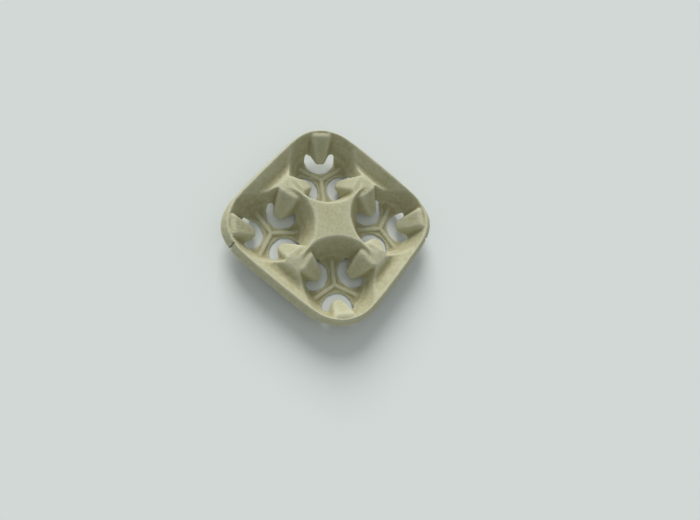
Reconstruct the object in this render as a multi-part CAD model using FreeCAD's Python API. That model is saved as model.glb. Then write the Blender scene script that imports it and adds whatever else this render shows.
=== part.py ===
import FreeCAD, Part
import math
import os

# A four-cup carrier moulded in one sheet of grey-brown pulp.
# Millimetres.  The carrier stands on its four feet at height 0 and is centred on the origin.
# The surface seen from above is built first, then the same forms again, one sheet thickness
# further in, and the second is taken from the first.

# sheet
sheet = 2.1

# rim, seen from above: a square with large corners and slightly bowed sides
span = 215.0
side_bow = 1.1
side_half = 49.5
crest_height = 38.8
edge_foot = 24.0
edge_top = 27.4
lip_rise = 0.5
lip_out = 0.9
skirt_out = 3.6
crest_round = 0.8
crest_flat_out = 101.7

# how far each corner of the skirt has spread outwards, in turn from the +X +Y corner,
# and how much of that spread reaches the crest
corner_spreads = (3.0, 4.6, 0.0, 7.0)
crest_spread_share = 0.3

# hub and ridges
hub_height = 42.0
hub_block_half = 66.0
ridge_start = 46.0
ridge_start_height = 42.3
ridge_end = 77.0
ridge_end_height = 36.0
valley_out = 86.5
valley_height = 24.5
wall_top_out = 100.6
wall_top_height = 39.2
trough_half_length = 47.0
ridge_round = 14.0
valley_round = 5.0

# cup wells
well_offset = 50.6
well_mouth_radius = 49.9
well_slope = 0.42
well_lip_radius = 3.5
floor_round = 5.0
crease_height = 13.0
crease_step = 0.6
mouth_lift = 0.06

# gripping fingers
finger_top_reach = 42.0
finger_top_height = 38.6
finger_lean = 0.794
finger_top_half_width = 12.0
finger_taper = 0.23
finger_flare = 0.58
finger_root_reach = 56.0
finger_top_tilt = 0.4
finger_round = 3.2
finger_front_round = 4.8
finger_turn = 6.0
finger_pivot = 34.0
finger_angles = (0.0, 120.0, -120.0)

# crescent slots around the finger tips
slot_centre = 29.4
slot_mean_radius = 14.9
slot_width = 9.0
tip_height = 10.4

# three-armed rib on each floor
rib_half_base = 3.5
rib_half_top = 2.1
rib_height = 2.6
rib_reach = 40.0

# torn places in the skirt: direction seen from above, width at the edge, height
tears = ((147.0, 3.0, 8.5), (-57.0, 2.6, 4.0))
tear_start = 118.5
tear_length = 20.0

# how far a cutting tool runs past the sheet, how far joined pieces run into each other,
# and how closely two points must agree to count as one
clear = 4.0
overlap = 1.0
agree = 0.01


def vec(x, y, z):
    return FreeCAD.Vector(x, y, z)


def rim_wire(half, height, spread):
    """One level line of the rim: bowed sides joined by tangent corners, which may be spread."""
    turn = 2.0 * math.atan(side_bow / side_half)
    end = half - side_bow
    radius = (end - side_half) / (math.cos(turn) - math.sin(turn))
    centre = end - radius * math.cos(turn)
    fall = (height - edge_foot) / (crest_height - edge_foot)
    share = 1.0 - (1.0 - crest_spread_share) * min(max(fall, 0.0), 1.0)
    diagonal = centre + radius * math.sqrt(0.5) + spread * share * math.sqrt(0.5)
    edges = []
    for quarter in range(4):
        spin = FreeCAD.Rotation(vec(0, 0, 1), 90.0 * quarter)
        start = spin.multVec(vec(end, -side_half, 0)) + vec(0, 0, height)
        middle = spin.multVec(vec(half, 0, 0)) + vec(0, 0, height)
        stop = spin.multVec(vec(end, side_half, 0)) + vec(0, 0, height)
        corner = spin.multVec(vec(diagonal, diagonal, 0)) + vec(0, 0, height)
        after = spin.multVec(vec(side_half, end, 0)) + vec(0, 0, height)
        edges.append(Part.Arc(start, middle, stop).toShape())
        if spread == 0.0:
            edges.append(Part.Arc(stop, corner, after).toShape())
            continue
        leaving = spin.multVec(vec(-math.sin(turn), math.cos(turn), 0))
        joining = spin.multVec(vec(-math.cos(turn), math.sin(turn), 0))
        curve = Part.BSplineCurve()
        curve.interpolate(Points=[stop, corner, after], InitialTangent=leaving, FinalTangent=joining)
        edges.append(curve.toShape())
    return Part.Wire(edges)


def moved_line(points, distance):
    """An open line of (across, up) points moved sideways by a distance, corners kept sharp."""
    normals = []
    for (a, b), (c, d) in zip(points, points[1:]):
        length = math.hypot(c - a, d - b)
        normals.append(((b - d) / length, (c - a) / length))
    result = [(points[0][0] + normals[0][0] * distance, points[0][1] + normals[0][1] * distance)]
    for (x, y), n, m in zip(points[1:-1], normals, normals[1:]):
        share = distance / (1.0 + n[0] * m[0] + n[1] * m[1])
        result.append((x + (n[0] + m[0]) * share, y + (n[1] + m[1]) * share))
    x, y = points[-1]
    result.append((x + normals[-1][0] * distance, y + normals[-1][1] * distance))
    return result


def rim_body(skin, spread):
    """Everything under the rim crest, drawn in by the skin."""
    edge_half = span / 2.0
    skirt_foot = edge_half - lip_out
    skirt_head = skirt_foot - skirt_out
    head_height = crest_height - 2.0 * crest_round
    outline = [
        (edge_half, edge_foot - overlap),
        (edge_half, edge_top),
        (skirt_foot, edge_top + lip_rise),
        (skirt_head, head_height),
        (crest_flat_out + crest_round, crest_height - crest_round),
        (crest_flat_out, crest_height),
        (wall_top_out, crest_height),
    ]
    levels = moved_line(outline, skin)[:-1]
    wires = [rim_wire(half, height, spread) for half, height in levels]
    return Part.makeLoft(wires, True, True)


def slab(half, low, high):
    return Part.makeBox(2 * half, 2 * half, high - low, vec(-half, -half, low))


def well_tool(skin):
    """The hollow of one well, turned about its axis, grown by the skin."""
    slope_length = math.hypot(1.0, well_slope)
    cos_wall = 1.0 / slope_length
    sin_wall = well_slope / slope_length
    lean = math.degrees(math.asin(sin_wall))
    mouth_level = hub_height + mouth_lift

    def wall(height):
        return well_mouth_radius - well_slope * (mouth_level - height) + skin * slope_length

    def on_arc(across, up, radius, degrees, side):
        angle = math.radians(degrees)
        return vec(across + side * radius * math.cos(angle), 0, up - side * radius * math.sin(angle))

    lip = well_lip_radius - skin
    lip_centre = well_mouth_radius + well_lip_radius * (cos_wall - well_slope * (1.0 - sin_wall))
    lip_level = mouth_level - well_lip_radius
    lip_start = on_arc(lip_centre, lip_level, lip, lean, -1)
    lip_mid = on_arc(lip_centre, lip_level, lip, (90.0 + lean) / 2.0, -1)
    lip_end = on_arc(lip_centre, lip_level, lip, 90.0, -1)

    bend = floor_round + skin
    bend_level = sheet + floor_round
    fall = mouth_level - bend_level + floor_round * sin_wall
    bend_centre = well_mouth_radius - well_slope * fall - crease_step - floor_round * cos_wall
    bend_start = on_arc(bend_centre, bend_level, bend, 90.0, 1)
    bend_mid = on_arc(bend_centre, bend_level, bend, (90.0 + lean) / 2.0, 1)
    bend_end = on_arc(bend_centre, bend_level, bend, lean, 1)

    crease_foot = crease_height - crease_step
    crease_low = vec(wall(crease_foot) - crease_step, 0, crease_foot)
    crease_high = vec(wall(crease_height), 0, crease_height)
    roof = mouth_level + clear
    centre_low = vec(0, 0, bend_start.z)
    centre_high = vec(0, 0, roof)
    edge_high = vec(lip_end.x, 0, roof)
    edges = [
        Part.makeLine(centre_low, bend_start),
        Part.Arc(bend_start, bend_mid, bend_end).toShape(),
        Part.makeLine(bend_end, crease_low),
        Part.makeLine(crease_low, crease_high),
        Part.makeLine(crease_high, lip_start),
        Part.Arc(lip_start, lip_mid, lip_end).toShape(),
        Part.makeLine(lip_end, edge_high),
        Part.makeLine(edge_high, centre_high),
        Part.makeLine(centre_high, centre_low),
    ]
    face = Part.Face(Part.Wire(edges))
    return face.revolve(vec(0, 0, 0), vec(0, 0, 1), 360)


def along(edge, across, up):
    """Whether an edge runs along Y at this place."""
    ends = [v.Point for v in edge.Vertexes]
    return all(abs(p.x - across) < agree and abs(p.z - up) < agree for p in ends)


def trough_tool(skin):
    """The dip between rim and hub across one ridge, grown by the skin."""
    line = [
        (ridge_start, ridge_start_height),
        (ridge_end, ridge_end_height),
        (valley_out, valley_height),
        (wall_top_out, wall_top_height),
    ]
    low = moved_line(line, -skin)
    roof = hub_height + clear
    first = low[0]
    last = low[-1]
    points = [vec(x, -trough_half_length, z) for x, z in low]
    points.append(vec(last[0], -trough_half_length, roof))
    points.append(vec(first[0], -trough_half_length, roof))
    points.append(points[0])
    face = Part.Face(Part.makePolygon(points))
    trough = face.extrude(vec(0, 2.0 * trough_half_length, 0))
    for (across, up), radius in ((low[1], ridge_round - skin), (low[2], valley_round + skin)):
        bend = [e for e in trough.Edges if along(e, across, up)]
        trough = trough.makeFillet(radius, bend)
    return trough


def wall_limit(skin):
    """A cone just outside the well wall, which ends the root of a finger."""
    grow = overlap + skin * math.hypot(1.0, well_slope)
    low = -clear
    high = hub_height
    low_radius = well_mouth_radius - well_slope * (hub_height - low) + grow
    return Part.makeCone(low_radius, well_mouth_radius + grow, high - low, vec(0, 0, low))


def is_front_side(edge):
    """Whether an edge of the finger's wedge runs down beside its front face."""
    ends = [v.Point for v in edge.Vertexes]
    rises = abs(ends[0].z - ends[-1].z) > hub_height / 2.0
    return rises and all(p.x < finger_root_reach - agree for p in ends)


def is_upper(edge):
    """Whether an edge belongs to the top of the finger's wedge."""
    ends = [v.Point for v in edge.Vertexes]
    at_root = all(abs(p.x - finger_root_reach) < agree for p in ends)
    return not at_root and all(p.z > hub_height / 2.0 for p in ends)


def finger_body(skin):
    """One finger: leaning flat face, flared sides, top tilted up towards the well."""
    face_shift = skin * math.hypot(1.0, finger_lean)
    side_rise = finger_flare * finger_lean - finger_taper
    side_shift = skin * math.sqrt(1.0 + finger_flare ** 2 + side_rise ** 2)

    def level(height):
        drop = finger_top_height - height
        reach = finger_top_reach - finger_lean * drop
        width = finger_top_half_width - finger_taper * drop
        front = reach + face_shift
        front_half = width + finger_flare * face_shift - side_shift
        root_half = width + finger_flare * (finger_root_reach - reach) - side_shift
        corners = [
            vec(front, front_half, height),
            vec(finger_root_reach, root_half, height),
            vec(finger_root_reach, -root_half, height),
            vec(front, -front_half, height),
            vec(front, front_half, height),
        ]
        return Part.makePolygon(corners)

    wedge = Part.makeLoft([level(-overlap), level(hub_height)], True, True)
    tilt = math.degrees(math.atan(finger_top_tilt))
    lid = Part.makeBox(2.0 * span, span, span, vec(-span, -span / 2.0, 0))
    lid.rotate(vec(0, 0, 0), vec(0, 1, 0), tilt)
    drop = skin * math.hypot(1.0, finger_top_tilt)
    lid.translate(vec(finger_top_reach, 0, finger_top_height - drop))
    wedge = wedge.cut(lid)
    front = [e for e in wedge.Edges if is_front_side(e)]
    wedge = wedge.makeFillet(finger_front_round - skin, front)
    rest = [e for e in wedge.Edges if is_upper(e)]
    return wedge.makeFillet(finger_round - skin, rest)


def turned(shape, angle):
    """A ridge finger faces a little past its own radius; the corner finger does not."""
    copy = shape.copy()
    if angle != 0.0:
        copy.rotate(vec(finger_pivot, 0, 0), vec(0, 0, 1), math.copysign(finger_turn, angle))
    return copy


def slot_tool(angle):
    """A crescent open around the finger tip, with round ends; it leaves the tip a level edge."""
    outer = slot_mean_radius + slot_width / 2.0
    inner = slot_mean_radius - slot_width / 2.0
    end = slot_centre + slot_width / 2.0
    left = vec(slot_centre, outer, 0)
    right = vec(slot_centre, -outer, 0)
    left_in = vec(slot_centre, inner, 0)
    right_in = vec(slot_centre, -inner, 0)
    edges = [
        Part.Arc(left, vec(slot_centre - outer, 0, 0), right).toShape(),
        Part.Arc(right, vec(end, -slot_mean_radius, 0), right_in).toShape(),
        Part.makeLine(right_in, left_in),
        Part.Arc(left_in, vec(end, slot_mean_radius, 0), left).toShape(),
    ]
    opening = Part.Face(Part.Wire(edges)).extrude(vec(0, 0, hub_height))
    opening.translate(vec(0, 0, -clear))
    outline = turned(finger_body(0.0), angle).slice(vec(0, 0, 1), tip_height)[0]
    tongue = Part.Face(Part.Wire(outline.Edges))
    tongue.translate(vec(0, 0, -2.0 * clear - tip_height))
    opening = opening.cut(tongue.extrude(vec(0, 0, 2.0 * hub_height)))
    under = tongue.extrude(vec(0, 0, tip_height - sheet + 2.0 * clear))
    return [opening, under]


def rib_body(skin):
    """The three-armed rib of one floor, lowered and narrowed by the skin."""
    top = sheet + rib_height - skin
    slope = (rib_half_base - rib_half_top) / rib_height
    narrow = skin * math.hypot(1.0, slope)
    foot = -clear + skin

    def half_at(height):
        return rib_half_top + slope * (sheet + rib_height - height) - narrow

    arms = []
    for angle in finger_angles:
        points = [
            vec(0, -half_at(foot), foot),
            vec(0, half_at(foot), foot),
            vec(0, half_at(top), top),
            vec(0, -half_at(top), top),
            vec(0, -half_at(foot), foot),
        ]
        arm = Part.Face(Part.makePolygon(points)).extrude(vec(rib_reach, 0, 0))
        arm.rotate(vec(0, 0, 0), vec(0, 0, 1), angle + 180.0)
        arms.append(arm)
    return arms[0].fuse(arms[1:]).removeSplitter()


def to_well(shape):
    """Moves a shape drawn about the well axis, facing +X, to the well in the +X +Y corner."""
    placed = shape.copy()
    placed.rotate(vec(0, 0, 0), vec(0, 0, 1), 45.0)
    placed.translate(vec(well_offset, well_offset, 0))
    return placed


def finger_set(skin):
    limit = wall_limit(skin)
    placed = []
    for angle in finger_angles:
        finger = turned(finger_body(skin), angle).common(limit)
        finger.rotate(vec(0, 0, 0), vec(0, 0, 1), angle)
        placed.append(finger)
    return placed


def form(skin, spread):
    """One quarter of the solid under the upper surface of the carrier, drawn in by the skin."""
    if skin > 0:
        base = slab(span, -2.0 * clear, edge_foot)
    else:
        feet = rim_wire(span / 2.0, -clear, spread)
        edge = rim_wire(span / 2.0, edge_foot, spread)
        base = Part.makeLoft([feet, edge], True, True)
    quadrant = Part.makeBox(span, span, 4.0 * span, vec(0, 0, -2.0 * span))
    block = rim_body(skin, spread).fuse([base, slab(hub_block_half, 0, hub_height - skin)]).common(quadrant)
    trough = trough_tool(skin)
    side_trough = trough.copy()
    side_trough.rotate(vec(0, 0, 0), vec(0, 0, 1), 90.0)
    block = block.cut([trough, side_trough, to_well(well_tool(skin))])
    inside = [to_well(finger) for finger in finger_set(skin)]
    inside.append(to_well(rib_body(skin)))
    return block.fuse(inside)


def slots():
    tools = []
    for angle in finger_angles:
        for tool in slot_tool(angle):
            tool.rotate(vec(0, 0, 0), vec(0, 0, 1), angle)
            tools.append(to_well(tool))
    return tools


def tear_tools():
    """Narrow wedges that split the skirt where the pulp has torn."""
    tools = []
    for direction, width, height in tears:
        points = [
            vec(tear_start, -width / 2.0, edge_foot - overlap),
            vec(tear_start, width / 2.0, edge_foot - overlap),
            vec(tear_start, 0, edge_foot + height),
            vec(tear_start, -width / 2.0, edge_foot - overlap),
        ]
        tool = Part.Face(Part.makePolygon(points)).extrude(vec(tear_length, 0, 0))
        tool.rotate(vec(0, 0, 0), vec(0, 0, 1), direction)
        tools.append(tool)
    return tools


built = {}
quarters = []
for turn, spread in enumerate(corner_spreads):
    if spread not in built:
        built[spread] = form(0.0, spread).cut(form(sheet, spread)).cut(slots())
    quarter = built[spread].copy()
    quarter.rotate(vec(0, 0, 0), vec(0, 0, 1), 90.0 * turn)
    quarters.append(quarter)
carrier = quarters[0].fuse(quarters[1:]).removeSplitter().cut(tear_tools()).Solids[0]
os.makedirs("parts", exist_ok=True)
carrier.exportStep("parts/carrier.step")
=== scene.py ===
import math

import bpy
import numpy as np
from mathutils import Euler, Matrix, Vector
from mathutils.bvhtree import BVHTree

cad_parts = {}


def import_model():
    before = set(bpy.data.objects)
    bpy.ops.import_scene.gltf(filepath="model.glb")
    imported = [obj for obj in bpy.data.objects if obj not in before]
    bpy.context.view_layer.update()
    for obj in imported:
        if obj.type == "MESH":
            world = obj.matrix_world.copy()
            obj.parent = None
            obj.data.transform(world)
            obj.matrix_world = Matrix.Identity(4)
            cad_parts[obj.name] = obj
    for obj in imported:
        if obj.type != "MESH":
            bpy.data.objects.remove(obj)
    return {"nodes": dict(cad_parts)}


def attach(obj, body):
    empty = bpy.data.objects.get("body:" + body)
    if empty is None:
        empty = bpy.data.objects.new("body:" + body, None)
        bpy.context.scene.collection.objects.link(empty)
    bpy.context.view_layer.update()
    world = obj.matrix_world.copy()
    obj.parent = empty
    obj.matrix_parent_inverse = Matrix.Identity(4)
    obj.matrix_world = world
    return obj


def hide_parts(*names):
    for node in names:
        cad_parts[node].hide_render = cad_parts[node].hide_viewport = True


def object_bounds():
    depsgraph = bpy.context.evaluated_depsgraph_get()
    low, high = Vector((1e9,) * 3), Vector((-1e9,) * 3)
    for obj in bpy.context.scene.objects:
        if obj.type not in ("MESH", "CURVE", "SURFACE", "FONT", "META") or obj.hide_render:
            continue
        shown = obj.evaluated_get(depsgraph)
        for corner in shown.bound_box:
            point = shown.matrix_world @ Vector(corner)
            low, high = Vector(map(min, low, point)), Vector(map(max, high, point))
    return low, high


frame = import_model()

CAD_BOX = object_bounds()

# All lengths are in metres.

# mesh of the sheet: first grid, triangles kept, thickness
VOXEL = 0.0007
TRIANGLES = 190000
SHEET = 0.0021

# how soon one region passes into the next
BLEND = 0.001

# layout of the carrier: wells, large corners of the rim, and the fingers of a well by their turn
# from its outward direction
WELL_OFFSET = 0.0506
CORNER_CENTRE = 0.0480
FINGER_TURNS = (0.0, 2.0 * math.pi / 3.0, -2.0 * math.pi / 3.0)

# softening: rounds for stray grid steps, rounds for the bends, share of the way gone in a round
GRID_ROUNDS = 2
SOFT_ROUNDS = 28
ROUND_SHARE = 0.5

# regions that keep more of their form, and how freely each is softened, where 1 is fully
SOFT_CUT = 0.06
SOFT_CREST = 0.30
CREST_LOW = 0.0365
CREST_HALF = 0.0985
SOFT_SKIRT = 0.12
SKIRT_HIGH = 0.0285
SKIRT_HALF = 0.1035
SOFT_HUB = 0.45
HUB_LOW = 0.0400
HUB_REACH = 0.0300
SOFT_RIB = 0.22
RIB_BACK = 0.0030
RIB_REACH = 0.0270
RIB_FADE = 0.0040
RIB_HALF = 0.0052
RIB_BLEND = 0.0008
RIB_TOP = 0.0062

# where the sheet was cut: below the rim's edge, and around the floors of the wells
EDGE_HIGH = 0.0290
EDGE_HALF = 0.1000
SLOT_HIGH = 0.0170
SLOT_REACH = 0.0420

# a face is a cut one where the sheet reaches this many thicknesses behind it; the mark is spread
# for some rounds and made firm again; the ray that measures it starts and ends this far in
CUT_DEPTHS = (1.6, 2.0)
CUT_ROUNDS = 5
CUT_SPREAD = (0.10, 0.45)
RAY_START = 0.0001
RAY_END = 0.012

# finger tops: height, where the raised part starts and ends, its half width and its fall; only
# hollows up to a depth are raised, and only where the surface faces up
TOP_HEIGHT = 0.0386
TOP_START = 0.0420
TOP_FRONT = 0.0010
TOP_END = 0.0570
CORNER_TOP_END = 0.0480
TOP_END_BLEND = 0.0030
TOP_HALF = 0.0100
TOP_BLEND = 0.0040
TOP_FALL = 0.08
RIDGE_TOP_FALL = 0.16
TOP_DEEPEST = 0.0050
FACING_UP = (0.1, 0.4)

# crest of the ridges: where it starts, its height there and its fall
RIDGE_START = 0.0460
RIDGE_HIGH = 0.0423
RIDGE_FALL = 0.203

# fine crease of a well's lip across its finger tops
CREASE_REACH = 0.0490
CREASE_HALF = 0.0011
CREASE_HEIGHT = 0.00045
CREASE_GAP = 0.0005

# lumps all over the sheet, then more on its cut edges: size, height, seed
WAVES = (
    (0.034, 0.00030, 11),
    (0.012, 0.00016, 12),
    (0.0045, 0.00014, 13),
    (0.0022, 0.00011, 14),
)
EDGE_WAVES = (
    (0.0060, 0.00040, 21),
    (0.0027, 0.00032, 22),
)

# rough places: centre, radius, height and size of the shreds; then the share of the radius that
# has the full height
ROUGH = (
    ((-0.0880, 0.0840, 0.0320), 0.032, 0.00020, 0.0015),
    ((-0.0020, 0.0450, 0.0400), 0.008, 0.00045, 0.0015),
    ((-0.0044, 0.0310, 0.0410), 0.007, 0.00040, 0.0015),
    ((0.0835, -0.0292, 0.0090), 0.005, 0.00100, 0.0020),
    ((-0.0368, -0.0121, 0.0090), 0.005, 0.00110, 0.0020),
    ((-0.0115, -0.0426, 0.0090), 0.005, 0.00110, 0.0020),
    ((0.0899, -0.0612, 0.0090), 0.005, 0.00110, 0.0020),
)
ROUGH_CORE = 0.4
ROUGH_SEED = 31

# cracks: radius, depth and the line each one follows; then the share of the radius that has the
# full depth, and how far, by which lumps, the edge wanders
CRACKS = (
    (0.0019, 0.0018, (
        (-0.1032, 0.0680, 0.0240),
        (-0.1028, 0.0680, 0.0275),
    )),
    (0.0010, 0.0014, (
        (-0.1028, 0.0680, 0.0271),
        (-0.1012, 0.0674, 0.0320),
        (-0.0982, 0.0663, 0.0379),
    )),
    (0.0030, 0.0026, (
        (0.0695, -0.1048, 0.0245),
        (0.0686, -0.1042, 0.0275),
    )),
)
CRACK_CORE = 0.3
CRACK_WANDER = 0.3
CRACK_LUMP = 0.0015
CRACK_SEED = 41

# dark faces: how dark cut ones are against a crack, and how far the painted shade of a crack
# reaches
CUT_DARK = 0.55
DARK_DEPTHS = (1.4, 2.0)
DARK_ROUNDS = 1
DARK_REACH = 0.5
DARK_CORE = 0.4

# how wide a bend is felt, and how strong a full hollow or a full edge is; the bend sets the painted
# shade in hollows and the painted highlight on edges
BEND_ROUNDS = 26
BEND_FULL = 0.00050

# colours of the pulp; the last three are painted: shade in hollows, a highlight on edges, and dark
# on cut faces with shade in the cracks
DARKER_PULP = (0.455, 0.440, 0.268)
LIGHTER_PULP = (0.497, 0.484, 0.312)
LIGHT_MOTTLE = (0.56, 0.55, 0.39)
DARK_FLECK = (0.22, 0.19, 0.11)
PALE_FIBRE = (0.62, 0.60, 0.45)
# painted shade: a darker, more saturated colour in hollows
PAINTED_HOLLOW_SHADE = (0.31, 0.27, 0.13)
# painted highlight: a paler colour on convex edges
PAINTED_EDGE_HIGHLIGHT = (0.62, 0.61, 0.46)
# darker on cut faces, and painted shade in the cracks
DARK_CUTS_AND_CRACK_SHADE = (0.16, 0.13, 0.07)

# noises of the pulp: scale, detail, roughness, distortion
PATCH_NOISE = (38.0, 3.0, 0.55, 0.0)
MOTTLE_NOISE = (210.0, 4.0, 0.65, 0.0)
FLECK_NOISE = (520.0, 2.0, 0.5, 0.6)
FIBRE_NOISE = (330.0, 2.0, 0.55, 1.6)
LUMP_NOISE = (420.0, 3.0, 0.6, 0.0)
GRAIN_NOISE = (900.0, 3.0, 0.6, 0.0)

# each colour comes in between two levels of its source, up to a share; a fibre runs where its
# noise is near its middle
PATCH_LEVELS = (0.35, 0.65)
MOTTLE_TINT = (0.44, 0.66, 0.50)
FLECK_TINT = (0.60, 0.72, 0.45)
FIBRE_MIDDLE = 0.5
FIBRE_LEVELS = (0.022, 0.004)
FIBRE_TINT = (0.0, 1.0, 0.32)
# painted shade in hollows, set by the bend
PAINTED_HOLLOW_SHADE_TINT = (0.0, 1.0, 0.55)
# painted highlight on convex edges, set by the bend
PAINTED_EDGE_HIGHLIGHT_TINT = (-0.1, -1.0, 0.45)
# darker on cut faces, and painted shade in the cracks
DARK_CUTS_AND_CRACK_SHADE_TINT = (0.0, 1.0, 0.85)

# fine relief and finish of the pulp
LUMP_SHARE = 0.55
GRAIN_SHARE = 0.35
FIBRE_SHARE = 0.10
BUMP_STRENGTH = 1.0
BUMP_DISTANCE = 0.0009
ROUGHNESS = 0.92
SPECULAR = 0.25

# floor and light; the lamp's angle is its width in radians
FLOOR_SIZE = 12.0
FLOOR_GAP = 0.0001
FLOOR_COLOUR = (0.74, 0.77, 0.75)
SKY_COLOUR = (0.95, 1.0, 1.0)
AMBIENT = 0.44
BACKDROP = 0.74
KEY_FROM = (2.0, 2.1, 1.75)
KEY_STRENGTH = 2.75
KEY_ANGLE = 0.55

# photograph, in pixels, and the camera that took it, in metres and degrees
PIXELS = 700.0
FOCAL_PIXELS = 383.14
CENTRE_PIXELS = (337.79, 285.63)
PICTURE_CENTRE = (350.0, 260.0)
SENSOR_MILLIMETRES = 36.0
CAMERA_PLACE = (-0.198527, -0.047355, 0.456473)
CAMERA_TURN = (13.87392, -12.11344, -52.33629)
CAMERA_NEAR = 0.01

# whole-number hash behind the noise: factors for x, y, z and seed, then shifts that mix the bits
HASH_FACTORS = (374761393, 668265263, 2147483647, 1274126177)
HASH_MIXES = ((13, 1274126177), (16, 2246822519))
HASH_SHIFT = 15
HASH_BITS = 0xFFFFFFFF
FRACTION_BITS = 0xFFFFFF


def hashed(ix, iy, iz, seed):
    """A fixed number from 0 to 1 for every point of a whole-number grid."""
    h = sum(number * factor for number, factor in zip((ix, iy, iz, seed), HASH_FACTORS)) & HASH_BITS
    for shift, factor in HASH_MIXES:
        h = ((h ^ (h >> shift)) * factor) & HASH_BITS
    return ((h ^ (h >> HASH_SHIFT)) & FRACTION_BITS) / float(FRACTION_BITS)


def noise(points, size, seed):
    """Smooth value noise from -1 to 1."""
    p = points / size
    base = np.floor(p).astype(np.int64)
    part = p - base
    part = part * part * part * (part * (part * 6.0 - 15.0) + 10.0)
    total = np.zeros(len(points))
    for dx in (0, 1):
        wx = part[:, 0] if dx else 1.0 - part[:, 0]
        for dy in (0, 1):
            wy = part[:, 1] if dy else 1.0 - part[:, 1]
            for dz in (0, 1):
                wz = part[:, 2] if dz else 1.0 - part[:, 2]
                corner = hashed(base[:, 0] + dx, base[:, 1] + dy, base[:, 2] + dz, seed)
                total += wx * wy * wz * corner
    return total * 2.0 - 1.0


def step(low, high, value):
    """0 up to low, 1 from high on, and a smooth rise between them; low may be the larger one."""
    t = np.clip((value - low) / (high - low), 0.0, 1.0)
    return t * t * (3.0 - 2.0 * t)


def within(limit, value, blend=BLEND):
    """1 up to the limit, and 0 from one blend past it."""
    return step(limit + blend, limit, value)


def beyond(limit, value, blend=BLEND):
    """1 from the limit on, and 0 up to one blend before it."""
    return step(limit - blend, limit, value)


def points_of(mesh):
    values = np.empty(len(mesh.vertices) * 3)
    mesh.vertices.foreach_get("co", values)
    return values.reshape(-1, 3)


def normals_of(mesh):
    values = np.empty(len(mesh.vertices) * 3, dtype=np.float32)
    mesh.vertex_normals.foreach_get("vector", values)
    return values.reshape(-1, 3).astype(float)


def edges_of(mesh):
    values = np.empty(len(mesh.edges) * 2, dtype=np.int64)
    mesh.edges.foreach_get("vertices", values)
    return values.reshape(-1, 2)


def place(mesh, points):
    mesh.vertices.foreach_set("co", points.astype(np.float32).ravel())
    mesh.update()


def keep(mesh, name, values):
    """Stores one number per point, for the material to read."""
    layer = mesh.attributes.new(name, "FLOAT", "POINT")
    layer.data.foreach_set("value", values.astype(np.float32))


def applied(obj):
    """Replaces the object's mesh by what its modifiers make of it."""
    graph = bpy.context.evaluated_depsgraph_get()
    graph.update()
    mesh = bpy.data.meshes.new_from_object(obj.evaluated_get(graph))
    obj.modifiers.clear()
    obj.data = mesh
    return mesh


def softened(values, edges, rounds, free=1.0):
    """Every row of values drawn towards the mean of its neighbours, as freely as it may be."""
    size = len(values)
    first, second = edges[:, 0].copy(), edges[:, 1].copy()
    count = np.maximum(np.bincount(edges.ravel(), minlength=size).astype(float), 1.0)
    values = values.copy()
    for _ in range(rounds):
        for column in range(values.shape[1]):
            value = values[:, column]
            total = np.bincount(first, weights=value[second], minlength=size)
            total += np.bincount(second, weights=value[first], minlength=size)
            values[:, column] = value + ROUND_SHARE * free * (total / count - value)
    return values


def inward_depth(mesh, points, normals):
    """How far the sheet reaches behind each point, straight in from its surface."""
    tree = BVHTree.FromPolygons(points.tolist(), [tuple(f.vertices) for f in mesh.polygons])
    depth = np.full(len(points), RAY_END)
    starts = points - normals * RAY_START
    for index, (start, inward) in enumerate(zip(starts.tolist(), (-normals).tolist())):
        spot, _, _, distance = tree.ray_cast(start, inward, RAY_END)
        if spot is not None:
            depth[index] = distance
    return depth


def rim_reach(points):
    """How far out each point lies: the half width of the rim that would pass through it."""
    x, y = np.abs(points[:, 0]), np.abs(points[:, 1])
    corner = np.hypot(np.maximum(x - CORNER_CENTRE, 0.0), np.maximum(y - CORNER_CENTRE, 0.0))
    return CORNER_CENTRE + corner


def around_wells(points):
    """For each well: the direction of its corner, and each point's place about its axis."""
    x, y = points[:, 0], points[:, 1]
    for sx in (1.0, -1.0):
        for sy in (1.0, -1.0):
            yield math.atan2(sy, sx), x - sx * WELL_OFFSET, y - sy * WELL_OFFSET


def spokes(points):
    """For each finger: its turn from the outward one, and how far out and aside each point lies."""
    for outward, u, v in around_wells(points):
        for turn in FINGER_TURNS:
            a = outward + turn
            yield turn, u * math.cos(a) + v * math.sin(a), v * math.cos(a) - u * math.sin(a)


def line_distance(points, line):
    """How far each point is from a line of straight runs."""
    best = np.full(len(points), np.inf)
    for first, last in zip(line[:-1], line[1:]):
        start, run = np.array(first), np.array(last) - np.array(first)
        share = np.clip((points - start) @ run / (run @ run), 0.0, 1.0)
        best = np.minimum(best, np.linalg.norm(points - start - share[:, None] * run, axis=1))
    return best


def cut_places(points):
    """Where the sheet has cut edges: its rim, and the slots in the floors."""
    z = points[:, 2]
    places = within(EDGE_HIGH, z) * beyond(EDGE_HALF, rim_reach(points))
    for _, u, v in around_wells(points):
        near = within(SLOT_REACH, np.hypot(u, v), 2.0 * BLEND) * within(SLOT_HIGH, z, 2.0 * BLEND)
        places = np.maximum(places, near)
    return places


def cut_faces(mesh, points, depths):
    """Which points lie on cut faces, told by how many thicknesses the sheet reaches behind them."""
    reach = inward_depth(mesh, points, normals_of(mesh)) / SHEET
    return step(depths[0], depths[1], reach) * cut_places(points)


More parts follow.
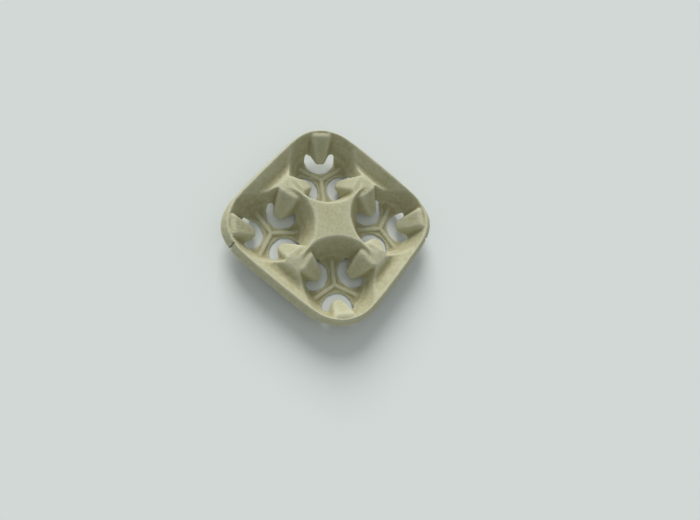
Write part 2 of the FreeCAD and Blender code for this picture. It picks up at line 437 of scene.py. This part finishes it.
def filled(points, normals):
    """The sheet with the hollow behind each finger's top raised nearly level."""
    x, y, z = points.T
    ridge = RIDGE_HIGH - RIDGE_FALL * (np.maximum(np.abs(x), np.abs(y)) - RIDGE_START)
    lift = np.zeros(len(points))
    for turn, out, aside in spokes(points):
        if turn == 0.0:
            level = TOP_HEIGHT - TOP_FALL * (out - TOP_START)
            end = CORNER_TOP_END
        else:
            level = np.minimum(TOP_HEIGHT - RIDGE_TOP_FALL * (out - TOP_START), ridge)
            end = TOP_END
        gap = level - z
        share = beyond(TOP_START + TOP_FRONT + TOP_BLEND, out, TOP_BLEND)
        share *= within(end - TOP_END_BLEND, out, TOP_END_BLEND)
        share *= within(TOP_HALF, np.abs(aside), TOP_BLEND)
        share *= within(TOP_DEEPEST, gap, 2.0 * BLEND) * step(*FACING_UP, normals[:, 2])
        from_crease = np.abs(np.hypot(out, aside) - CREASE_REACH)
        crease = CREASE_HEIGHT * within(0.0, from_crease, CREASE_HALF) * step(0.0, CREASE_GAP, gap)
        np.maximum(lift, share * (np.maximum(gap, 0.0) + crease), out=lift)
    moved = points.copy()
    moved[:, 2] += lift
    return moved


def softness(points, cut):
    """How freely each point may be softened."""
    x, y, z = points.T
    free = np.ones(len(points))
    reach = rim_reach(points)

    def limit(share, value):
        np.minimum(free, 1.0 - share * (1.0 - value), out=free)

    limit(beyond(CREST_LOW, z, 2.0 * BLEND) * beyond(CREST_HALF, reach, 2.0 * BLEND), SOFT_CREST)
    limit(within(SKIRT_HIGH, z) * beyond(SKIRT_HALF, reach), SOFT_SKIRT)
    near_hub = within(HUB_REACH, np.hypot(x, y), 4.0 * BLEND)
    limit(beyond(HUB_LOW, z, 2.0 * BLEND) * near_hub, SOFT_HUB)
    for _, out, aside in spokes(points):
        arm = within(RIB_BACK, out) * within(RIB_REACH, -out, RIB_FADE)
        arm *= within(RIB_HALF, np.abs(aside), RIB_BLEND)
        limit(arm * within(RIB_TOP, z), SOFT_RIB)
    limit(cut, SOFT_CUT)
    return free


def roughened(points, normals, cut):
    """The skin with its lumps, its ragged cut edges, its rough places and its cracks."""
    moved = points.copy()
    for size, height, seed in WAVES:
        moved += normals * (noise(points, size, seed) * height)[:, None]
    for size, height, seed in EDGE_WAVES:
        moved += normals * (noise(points, size, seed) * height * cut)[:, None]
    for index, (centre, radius, height, size) in enumerate(ROUGH):
        near = step(radius, ROUGH_CORE * radius, np.linalg.norm(points - np.array(centre), axis=1))
        moved += normals * (noise(points, size, ROUGH_SEED + index) * height * near)[:, None]
    for radius, depth, line in CRACKS:
        wander = CRACK_WANDER * radius * noise(points, CRACK_LUMP, CRACK_SEED)
        near = step(radius, CRACK_CORE * radius, line_distance(points, line) + wander)
        moved -= normals * (near * depth)[:, None]
    return moved


def mark_bends(mesh):
    """Keeps how hollow, above 0, or how edge-like, below 0, the surface is at each point, for the
    painted shade in hollows and the painted highlight on edges.
    """
    points = points_of(mesh)
    pull = softened(points, edges_of(mesh), BEND_ROUNDS) - points
    bend = (pull * normals_of(mesh)).sum(axis=1)
    keep(mesh, "bend", np.clip(bend / BEND_FULL, -1.0, 1.0))


def mark_dark(mesh):
    """Keeps where the surface is painted dark: darker on the cut faces of the sheet, and darkest in
    the cracks, as painted shade.
    """
    points = points_of(mesh)
    dark = CUT_DARK * cut_faces(mesh, points, DARK_DEPTHS)
    dark = softened(dark[:, None], edges_of(mesh), DARK_ROUNDS)[:, 0]
    for radius, depth, line in CRACKS:
        near = step(radius + DARK_REACH * depth, DARK_CORE * radius, line_distance(points, line))
        dark = np.maximum(dark, near)
    keep(mesh, "dark", dark)


def pulp_mesh(node):
    """The carrier's sheet as moulded pulp: soft bends, a lumpy skin and ragged cut edges."""
    obj = bpy.data.objects.new("pulp_carrier", node.data.copy())
    bpy.context.scene.collection.objects.link(obj)
    remesh = obj.modifiers.new("grain", "REMESH")
    remesh.mode = "VOXEL"
    remesh.voxel_size = VOXEL
    mesh = applied(obj)

    edges = edges_of(mesh)
    points = softened(points_of(mesh), edges, GRID_ROUNDS)
    place(mesh, points)
    cut = cut_faces(mesh, points, CUT_DEPTHS)
    cut = step(*CUT_SPREAD, softened(cut[:, None], edges, CUT_ROUNDS)[:, 0])

    points = filled(points, normals_of(mesh))
    points = softened(points, edges, SOFT_ROUNDS, softness(points, cut))
    place(mesh, points)
    place(mesh, roughened(points, normals_of(mesh), cut))

    grid_triangles = 2.0 * len(mesh.polygons)
    decimate = obj.modifiers.new("fewer", "DECIMATE")
    decimate.ratio = min(1.0, TRIANGLES / grid_triangles)
    mesh = applied(obj)
    low, high = (np.array(corner) for corner in CAD_BOX)
    place(mesh, np.clip(points_of(mesh), low, high))
    mark_bends(mesh)
    mark_dark(mesh)
    mesh.shade_smooth()
    return obj


class Nodes:
    """Short calls that add shader nodes and link them."""

    def __init__(self, owner):
        owner.use_nodes = True
        self.tree = owner.node_tree
        self.tree.nodes.clear()

    def add(self, kind, **values):
        node = self.tree.nodes.new(kind)
        for name, value in values.items():
            setattr(node, name, value)
        return node

    def link(self, source, target):
        self.tree.links.new(source, target)

    def output(self, kind, shader):
        self.link(shader.outputs[0], self.add(kind).inputs["Surface"])

    def kept(self, name):
        return self.add("ShaderNodeAttribute", attribute_name=name).outputs["Fac"]

    def noise(self, where, scale, detail, roughness, distortion):
        node = self.add("ShaderNodeTexNoise")
        node.inputs["Scale"].default_value = scale
        node.inputs["Detail"].default_value = detail
        node.inputs["Roughness"].default_value = roughness
        node.inputs["Distortion"].default_value = distortion
        self.link(where, node.inputs["Vector"])
        return node.outputs["Fac"]

    def ramp(self, source, low, high):
        node = self.add("ShaderNodeMapRange")
        node.inputs["From Min"].default_value = low
        node.inputs["From Max"].default_value = high
        self.link(source, node.inputs["Value"])
        return node.outputs["Result"]

    def math(self, kind, *values):
        node = self.add("ShaderNodeMath", operation=kind)
        for socket, value in zip(node.inputs, values):
            if isinstance(value, float):
                socket.default_value = value
            else:
                self.link(value, socket)
        return node.outputs[0]

    def mix(self, share, first, second):
        node = self.add("ShaderNodeMix", data_type="RGBA")
        self.link(share, node.inputs[0])
        for socket, value in ((node.inputs[6], first), (node.inputs[7], second)):
            if isinstance(value, tuple):
                socket.default_value = (*value, 1.0)
            else:
                self.link(value, socket)
        return node.outputs[2]

    def tinted(self, colour, paint, source, low, high, most):
        """The colour, with up to a share of paint as the source goes from low to high."""
        return self.mix(self.math("MULTIPLY", self.ramp(source, low, high), most), colour, paint)


def pulp_material():
    """Pulp with patches, mottle, flecks and fibres, painted shade in hollows, a painted highlight
    on convex edges, darker cut faces and painted shade in cracks.
    """
    material = bpy.data.materials.new("pulp")
    nodes = Nodes(material)
    where = nodes.add("ShaderNodeTexCoord").outputs["Object"]
    off_middle = nodes.math("SUBTRACT", nodes.noise(where, *FIBRE_NOISE), FIBRE_MIDDLE)
    fibre = nodes.ramp(nodes.math("ABSOLUTE", off_middle), *FIBRE_LEVELS)

    patches = nodes.ramp(nodes.noise(where, *PATCH_NOISE), *PATCH_LEVELS)
    colour = nodes.mix(patches, DARKER_PULP, LIGHTER_PULP)
    colour = nodes.tinted(colour, LIGHT_MOTTLE, nodes.noise(where, *MOTTLE_NOISE), *MOTTLE_TINT)
    colour = nodes.tinted(colour, DARK_FLECK, nodes.noise(where, *FLECK_NOISE), *FLECK_TINT)
    colour = nodes.tinted(colour, PALE_FIBRE, fibre, *FIBRE_TINT)
    # painted shade in hollows
    colour = nodes.tinted(colour, PAINTED_HOLLOW_SHADE, nodes.kept("bend"), *PAINTED_HOLLOW_SHADE_TINT)
    # painted highlight on convex edges
    colour = nodes.tinted(colour, PAINTED_EDGE_HIGHLIGHT, nodes.kept("bend"), *PAINTED_EDGE_HIGHLIGHT_TINT)
    # darker on cut faces, and painted shade in the cracks
    colour = nodes.tinted(colour, DARK_CUTS_AND_CRACK_SHADE, nodes.kept("dark"), *DARK_CUTS_AND_CRACK_SHADE_TINT)

    height = nodes.math("MULTIPLY", nodes.noise(where, *LUMP_NOISE), LUMP_SHARE)
    grain = nodes.math("MULTIPLY", nodes.noise(where, *GRAIN_NOISE), GRAIN_SHARE)
    height = nodes.math("ADD", height, grain)
    height = nodes.math("ADD", height, nodes.math("MULTIPLY", fibre, FIBRE_SHARE))
    bump = nodes.add("ShaderNodeBump")
    bump.inputs["Strength"].default_value = BUMP_STRENGTH
    bump.inputs["Distance"].default_value = BUMP_DISTANCE
    nodes.link(height, bump.inputs["Height"])

    shader = nodes.add("ShaderNodeBsdfPrincipled")
    shader.inputs["Roughness"].default_value = ROUGHNESS
    shader.inputs["Specular IOR Level"].default_value = SPECULAR
    nodes.link(colour, shader.inputs["Base Color"])
    nodes.link(bump.outputs["Normal"], shader.inputs["Normal"])
    nodes.output("ShaderNodeOutputMaterial", shader)
    return material


def floor():
    """A plain pale floor, a hair below the feet, so that it touches no face of them."""
    bpy.ops.mesh.primitive_plane_add(size=FLOOR_SIZE, location=(0.0, 0.0, -FLOOR_GAP))
    plane = bpy.context.active_object
    plane.name = "floor"
    material = bpy.data.materials.new("floor")
    nodes = Nodes(material)
    shader = nodes.add("ShaderNodeBsdfDiffuse")
    shader.inputs["Color"].default_value = (*FLOOR_COLOUR, 1.0)
    nodes.output("ShaderNodeOutputMaterial", shader)
    plane.data.materials.append(material)


def key_lamp():
    """One broad soft lamp, low on the side of the +X +Y corner."""
    light = bpy.data.lights.new("key", "SUN")
    light.energy = KEY_STRENGTH
    light.angle = KEY_ANGLE
    obj = bpy.data.objects.new("key", light)
    obj.location = KEY_FROM
    obj.rotation_euler = (-Vector(KEY_FROM)).to_track_quat("-Z", "Y").to_euler()
    bpy.context.scene.collection.objects.link(obj)


def world():
    """Even light from all round; the camera and mirror-like surfaces see a paler backdrop."""
    studio = bpy.data.worlds.new("studio")
    bpy.context.scene.world = studio
    nodes = Nodes(studio)
    path = nodes.add("ShaderNodeLightPath").outputs
    seen = nodes.math("MAXIMUM", path["Is Camera Ray"], path["Is Glossy Ray"])
    seen = nodes.math("MAXIMUM", seen, path["Is Transmission Ray"])
    strength = nodes.math("ADD", nodes.math("MULTIPLY", seen, BACKDROP - AMBIENT), AMBIENT)
    background = nodes.add("ShaderNodeBackground")
    background.inputs["Color"].default_value = (*SKY_COLOUR, 1.0)
    nodes.link(strength, background.inputs["Strength"])
    nodes.output("ShaderNodeOutputWorld", background)


def camera():
    """The photograph's viewpoint, over the side of the carrier away from the lamp."""
    data = bpy.data.cameras.new("camera")
    data.sensor_width = SENSOR_MILLIMETRES
    data.lens = FOCAL_PIXELS * SENSOR_MILLIMETRES / PIXELS
    data.shift_x = (PICTURE_CENTRE[0] - CENTRE_PIXELS[0]) / PIXELS
    data.shift_y = (CENTRE_PIXELS[1] - PICTURE_CENTRE[1]) / PIXELS
    data.clip_start = CAMERA_NEAR
    obj = bpy.data.objects.new("camera", data)
    turn = Euler([math.radians(angle) for angle in CAMERA_TURN])
    obj.matrix_world = Matrix.LocRotScale(Vector(CAMERA_PLACE), turn, None)
    bpy.context.scene.collection.objects.link(obj)
    bpy.context.scene.camera = obj


camera()
carrier = pulp_mesh(frame["nodes"]["carrier"])
carrier.data.materials.clear()
carrier.data.materials.append(pulp_material())
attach(carrier, "root")
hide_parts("carrier")
floor()
world()
key_lamp()
bpy.context.scene.view_settings.view_transform = "Standard"
